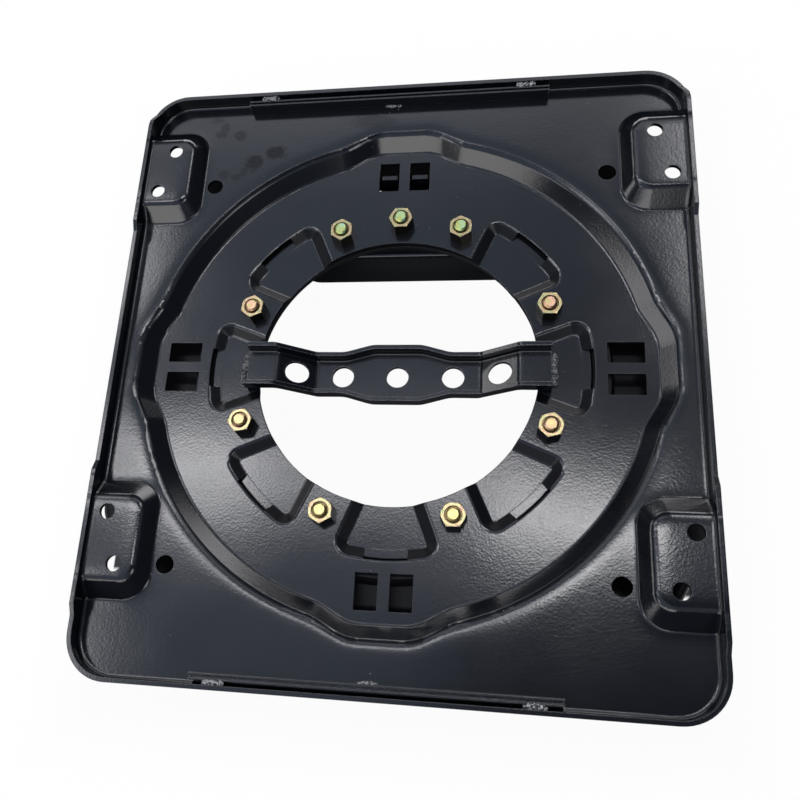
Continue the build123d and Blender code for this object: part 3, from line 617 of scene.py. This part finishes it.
finishes = {
    "black_coat": black_coat("black_coat", plate_film, rim_edges, 0.5, pressed=True),
    "zinc_yellow": zinc_nuts("zinc_yellow"),
    "ring_steel": plain_coat("ring_steel", (0.008, 0.008, 0.009), 0.42),
    "slip_plastic": moulded_plastic("slip_plastic", (0.72, 0.70, 0.64), 0.45, 900.0, 0.01 * MM),
    "spring_steel": bright_steel("spring_steel", (0.36, 0.36, 0.37), 0.32),
    "pin_steel": bright_steel("pin_steel", (0.62, 0.62, 0.63), 0.26),
    "grip_plastic": moulded_plastic("grip_plastic", (0.012, 0.012, 0.013), 0.5, 1500.0, 0.02 * MM),
    "weld_metal": weld_metal("weld_metal", 0.9),
}
dark_weld = weld_metal("dark_weld", 0.35)

# Bars and rails: their pale edges are partly a painted highlight
bar_coat = black_coat("edged_coat", no_film, bar_edges, 0.9)
stud_zinc = zinc_studs("zinc_studs")
own_finishes = {
    "base_pan": black_coat("pan_coat", pan_painted_shade, rim_edges, 0.5),
    "crossbar": bar_coat,
    "front_rail": bar_coat,
    "rear_rail": bar_coat,
    "clamp_bolts": stud_zinc,
    "bracket_bolts": stud_zinc,
}
slots = {part["node"]: part["material_slot"] for part in frame["record"]["subparts"]}
for node_name, node_object in frame["nodes"].items():
    node_object.data.materials.clear()
    node_object.data.materials.append(own_finishes.get(node_name, finishes[slots[node_name]]))


# Weld beads
BEAD_STEP = 0.22 * MM
BEAD_SIDES = 20
FINE_RIPPLE = 1.8 * MM
COARSE_RIPPLE = 3.2 * MM
RIPPLE_SHARE = 0.13
LUMP_SIZE = 1.3 * MM
LUMP_SHARE = 0.34
DROP_RADII = (0.18, 0.42)
DROP_FLATNESS = 0.6
UP = Vector((0.0, 0.0, 1.0))


def bead_mesh(mesh, start, end, across, rise, seed, ripple=FINE_RIPPLE):
    """Adds one lumpy bead to a bmesh, from start to end, with its half width across and its height rise."""
    length = (end - start).length
    forward = (end - start).normalized()
    side = forward.cross(UP).normalized()
    rings = max(14, int(length / BEAD_STEP))
    rows = []
    for ring in range(rings + 1):
        share = ring / rings
        taper = math.sqrt(max(0.0, 1 - abs(2 * share - 1) ** 5))
        wave = 1 + RIPPLE_SHARE * math.cos(2 * math.pi * share * length / ripple)
        centre = start + forward * (share * length)
        row = []
        for turn in range(BEAD_SIDES):
            angle = 2 * math.pi * turn / BEAD_SIDES
            reach = side * (math.cos(angle) * across) + UP * (math.sin(angle) * rise)
            lump = 1 + LUMP_SHARE * noise.noise((centre + reach) / LUMP_SIZE + Vector((seed, 0.0, 0.0)))
            row.append(mesh.verts.new(centre + reach * (taper * wave * lump)))
        rows.append(row)
    for first, second in zip(rows, rows[1:]):
        for turn in range(BEAD_SIDES):
            after = (turn + 1) % BEAD_SIDES
            mesh.faces.new((first[turn], first[after], second[after], second[turn]))
    mesh.faces.new(reversed(rows[0]))
    mesh.faces.new(rows[-1])


def spatter(mesh, centre, spread, count, draw):
    """Adds small round drops of metal that landed about a weld."""
    for drop in range(count):
        angle = draw.uniform(0, 2 * math.pi)
        reach = spread * math.sqrt(draw.random())
        place = centre + Vector((math.cos(angle) * reach, math.sin(angle) * reach, 0.0))
        radius = draw.uniform(*DROP_RADII) * MM
        matrix = Matrix.Translation(place) @ Matrix.Diagonal((1.0, 1.0, DROP_FLATNESS, 1.0))
        bmesh.ops.create_icosphere(mesh, subdivisions=1, radius=radius, matrix=matrix)


def add_piece(name, mesh, material, body):
    """Turns a bmesh into a smooth piece that rides on a body."""
    bmesh.ops.recalc_face_normals(mesh, faces=mesh.faces)
    data = bpy.data.meshes.new(name)
    mesh.to_mesh(data)
    mesh.free()
    for face in data.polygons:
        face.use_smooth = True
    data.materials.append(material)
    piece = bpy.data.objects.new(name, data)
    bpy.context.scene.collection.objects.link(piece)
    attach(piece, body)
    return piece


# Rail welds: two blobs between a rail and the rim, and a flat bead at the rail's foot
BLOB_LENGTH = 12.0 * MM
BLOB_SECTION = (1.9 * MM, 1.3 * MM)
BLOB_ASIDE = 1.05 * MM
BLOB_SINK = 0.2 * MM
FOOT_HALF = 5.5 * MM
FOOT_SECTION = (1.3 * MM, 1.1 * MM)
FOOT_SHIFT = 1.5 * MM
FOOT_LIFT = 0.1 * MM
FOOT_SPATTER_ASIDE = 3.0 * MM
FOOT_SPATTER_LIFT = 0.05 * MM


def rail_beads(side, seed):
    """The welds of one rail, at the rear for side 1 and at the front for side -1."""
    name = "rear_rail" if side > 0 else "front_rail"
    low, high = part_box(name)
    weld_low, weld_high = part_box(name + "_welds")
    outer_y = high.y if side > 0 else low.y
    inner_y = low.y if side > 0 else high.y
    gap_y = outer_y + side * BLOB_ASIDE
    blob_z = high.z - BLOB_SINK
    mesh = bmesh.new()
    draw = random.Random(seed)
    for start_x in (weld_low.x, weld_high.x - BLOB_LENGTH):
        start = Vector((start_x, gap_y, blob_z))
        end = Vector((start_x + BLOB_LENGTH, gap_y, blob_z))
        bead_mesh(mesh, start, end, *BLOB_SECTION, seed + start_x / MM, COARSE_RIPPLE)
    foot_x = (low.x + high.x) / 2 - FOOT_SHIFT
    foot_z = deck_z + FOOT_LIFT
    start = Vector((foot_x - FOOT_HALF, inner_y, foot_z))
    end = Vector((foot_x + FOOT_HALF, inner_y, foot_z))
    bead_mesh(mesh, start, end, *FOOT_SECTION, seed + 7.0)
    landed = Vector((foot_x, inner_y - side * FOOT_SPATTER_ASIDE, deck_z + FOOT_SPATTER_LIFT))
    spatter(mesh, landed, spread=3.5 * MM, count=4, draw=draw)
    piece = add_piece(name + "_beads", mesh, finishes["weld_metal"], "turntable")
    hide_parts(name + "_welds")


# Crossbar welds: one bead across each end, the left one a little slanted
BAR_BEAD_SECTION = (2.3 * MM, 2.1 * MM)
BAR_BEAD_LIFT = 1.0 * MM
LEFT_SLANT = 1.1 * MM
BAR_SPATTER_ASIDE = 4.0 * MM
BAR_SPATTER_LIFT = 0.1 * MM


def bar_bead(side, name, seed):
    """The bead across one end of the crossbar, at the right for side 1 and at the left for side -1."""
    low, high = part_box(name)
    mesh = bmesh.new()
    draw = random.Random(seed)
    slant = LEFT_SLANT if side < 0 else 0.0
    middle_x = (low.x + high.x) / 2
    start = Vector((middle_x - slant, low.y, low.z + BAR_BEAD_LIFT))
    end = Vector((middle_x + slant, high.y, low.z + BAR_BEAD_LIFT))
    bead_mesh(mesh, start, end, *BAR_BEAD_SECTION, seed)
    landed = Vector((middle_x + side * BAR_SPATTER_ASIDE, 0.0, low.z + BAR_SPATTER_LIFT))
    spatter(mesh, landed, spread=5.0 * MM, count=5, draw=draw)
    piece = add_piece(name + "_bead", mesh, dark_weld, "turntable")
    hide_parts(name)


rail_beads(1, 3.0)
rail_beads(-1, 11.0)
bar_bead(-1, "crossbar_weld_left", 5)
bar_bead(1, "crossbar_weld_right", 9)


# Floor: SHADE_X and SHADE_Y hold where its painted shadow strips start and end and how soft their edges are
FLOOR_HALF = 6.0
FLOOR_GAP = 0.05 * MM
FLOOR_PALE = (0.86, 0.86, 0.86)
FLOOR_SHADOW = (0.02, 0.02, 0.02)
FLOOR_GLOW_SHARE = 0.96
UNDER_SHARE = 0.9
SHADE_SHARE = 0.98
FOOTPRINT_INSET = 15.0 * MM
FOOTPRINT_FADE = 60.0 * MM
SHADE_X = (120.0 * MM, 178.0 * MM, 1.0 * MM)
SHADE_Y = (-118.5 * MM, 104.0 * MM, 3.0 * MM)


def beyond_plate(place, half):
    """0 under the plate and 1 well beyond its half size, along one axis."""
    return place.size().above(half - FOOTPRINT_INSET, half + FOOTPRINT_FADE)


def white_floor():
    """A pale floor that the camera and reflections see as white, and that still takes the shadow.

    Its colour is painted dark as shadow where the part stands on it, and darkest in a painted shadow strip
    under each side of the part, which the camera sees dark too. It is clear from below, so that the
    underside can be seen.
    """
    floor = Finish("white_floor")
    rays = floor.node("ShaderNodeLightPath")
    mirrored = rays.out("Is Glossy Ray").larger(rays.out("Is Transmission Ray"))
    open_floor = beyond_plate(floor.x, plate_high.x).larger(beyond_plate(floor.y, plate_high.y))
    shade = floor.x.size().between(*SHADE_X) * floor.y.between(*SHADE_Y)
    seen = (rays.out("Is Camera Ray") * (1 - shade * SHADE_SHARE)).larger(mirrored * open_floor)
    # Painted shadow: the floor's colour is dark under the part and in the strips beside it
    under = ((1 - open_floor) * UNDER_SHARE).larger(shade)
    floor.set(Base_Color=floor.mix(under, FLOOR_PALE, FLOOR_SHADOW), Roughness=0.9)
    lit = Wire(floor, floor.shader.outputs[0])
    glow = floor.node("ShaderNodeEmission", None, {"Color": WHITE, "Strength": 1.0}).out(0)
    clear = floor.node("ShaderNodeBsdfTransparent").out(0)
    from_below = floor.node("ShaderNodeNewGeometry").out("Backfacing")
    from_above = floor.mix_shaders(seen * FLOOR_GLOW_SHARE, lit, glow)
    floor.surface(floor.mix_shaders(from_below, from_above, clear))
    return floor.material


floor_z = cad_box[0][2] - FLOOR_GAP
corner_signs = [(-1, -1), (1, -1), (1, 1), (-1, 1)]
floor_corners = [(x * FLOOR_HALF, y * FLOOR_HALF, floor_z) for x, y in corner_signs]
floor_data = bpy.data.meshes.new("studio_floor")
floor_data.from_pydata(floor_corners, [], [(0, 1, 2, 3)])
floor_data.materials.append(white_floor())
studio_floor = bpy.data.objects.new("studio_floor", floor_data)
bpy.context.scene.collection.objects.link(studio_floor)


# Studio light: levels, tints and dimmer parts of the ceiling
ROOM_LEVEL = 0.07
CEILING_LEVEL = 0.66
CORNER_DIM = 0.92
RIGHT_DIM = 0.42
BAND_DIM = 0.40
REAR_GLOW = 5.0
SIDE_GLOW = 4.0
SKY_TINT = (0.82, 0.95, 1.22)
PANE_TINT = (1.0, 0.99, 1.01)
FRONT_TINT = (1.0, 0.985, 0.97)
HORIZON = 0.02

# Panes of sky: middle, half sizes and softness as tangents from straight up, and brightness
SKY_PANES = [
    ((-0.37, 0.250), (0.080, 0.050), 0.03, 15.0),
    ((-0.53, 0.278), (0.070, 0.032), 0.03, 13.0),
    ((-0.12, 0.255), (0.170, 0.026), 0.02, 11.0),
    ((0.100, 0.205), (0.090, 0.034), 0.015, 18.5),
    ((-0.56, 0.560), (0.080, 0.080), 0.03, 9.0),
    ((0.34, 0.650), (0.070, 0.200), 0.04, 10.0),
    ((-0.57, 0.010), (0.070, 0.080), 0.04, 7.0),
    ((-0.30, 0.900), (0.800, 0.140), 0.08, 1.2),
    ((0.60, -0.350), (0.180, 0.160), 0.06, 6.0),
    ((-0.88, -0.550), (0.200, 0.110), 0.05, 6.0),
]
FRONT_PANE = ((-0.55, -1.28), (0.80, 0.33), 0.10, 3.6)


def studio_world():
    """White for the camera, and for light a dim room with panes of sky where the flat steel mirrors them."""
    world = bpy.data.worlds.new("studio")
    sky = Tree(world)
    toward = sky.node("ShaderNodeTexCoord").out("Generated")
    parts = sky.node("ShaderNodeSeparateXYZ", None, {0: toward})
    x, y, z = parts.out(0), parts.out(1), parts.out(2)
    across = x / z.larger(HORIZON)
    along = y / z.larger(HORIZON)
    up = z.above(HORIZON, 3 * HORIZON)

    def pane(middle, half, soft, strength):
        """A soft-edged rectangle overhead: its middle and half sizes are tangents from straight up."""
        in_x = (across - middle[0]).size().below(half[0] - soft, half[0] + soft)
        in_y = (along - middle[1]).size().below(half[1] - soft, half[1] + soft)
        return in_x * in_y * up * strength

    # The ceiling is dark at the front right, dimmer over its right half and dimmer again in a rear band
    corner = along.below(0.06, 0.14) * across.above(-0.16, 0.06) * along.above(-0.35, -0.20)
    right = across.above(-0.10, 0.14)
    band = across.above(0.0, 0.15) * along.between(0.30, 0.48, 0.08)
    ceiling = z.above(0.55, 0.80) * CEILING_LEVEL * (1 - corner * CORNER_DIM)
    level = ROOM_LEVEL + ceiling * (1 - right * RIGHT_DIM) * (1 - band * BAND_DIM)
    # Low windows behind and to the left light the rims and the bends
    rear = y.above(0.35, 0.75) * z.above(0.05, 0.10) * z.below(0.22, 0.34) * x.size().below(0.30, 0.60)
    left = x.below(-0.85, -0.55) * z.above(0.20, 0.26) * z.below(0.34, 0.42)
    panes = rear * REAR_GLOW + left * SIDE_GLOW
    for sky_pane in SKY_PANES:
        panes = panes + pane(*sky_pane)
    room = sky.summed(sky.scaled(SKY_TINT, level), sky.scaled(FRONT_TINT, pane(*FRONT_PANE)))
    light = sky.summed(room, sky.scaled(PANE_TINT, panes))
    rays = sky.node("ShaderNodeLightPath")
    seen = rays.out("Is Camera Ray").larger(rays.out("Is Transmission Ray"))
    output = sky.nodes["Background"]
    sky.feed(output.inputs["Color"], sky.mix(seen, light, WHITE))
    output.inputs["Strength"].default_value = 1.0
    return world


bpy.context.scene.world = studio_world()

# Camera, solved from the photograph's corners, nuts and holes
PHOTO_SIDE = 800.0
SENSOR_WIDTH = 36.0
FOCAL_PIXELS = 818.5
OPTICAL_U = 337.5
OPTICAL_V = 418.6
CAMERA_PLACE = (0.0533, -0.1791, 0.4935)
CAMERA_TILT = (18.551, 9.482, 4.041)
camera_data = bpy.data.cameras.new("camera")
camera_data.sensor_width = SENSOR_WIDTH
camera_data.lens = FOCAL_PIXELS * SENSOR_WIDTH / PHOTO_SIDE
camera_data.shift_x = 0.5 - OPTICAL_U / PHOTO_SIDE
camera_data.shift_y = OPTICAL_V / PHOTO_SIDE - 0.5
camera_data.clip_start = 0.01
camera = bpy.data.objects.new("camera", camera_data)
camera.location = CAMERA_PLACE
camera.rotation_euler = Euler([math.radians(turn) for turn in CAMERA_TILT])
bpy.context.scene.collection.objects.link(camera)
bpy.context.scene.camera = camera
bpy.context.scene.view_settings.view_transform = "Standard"
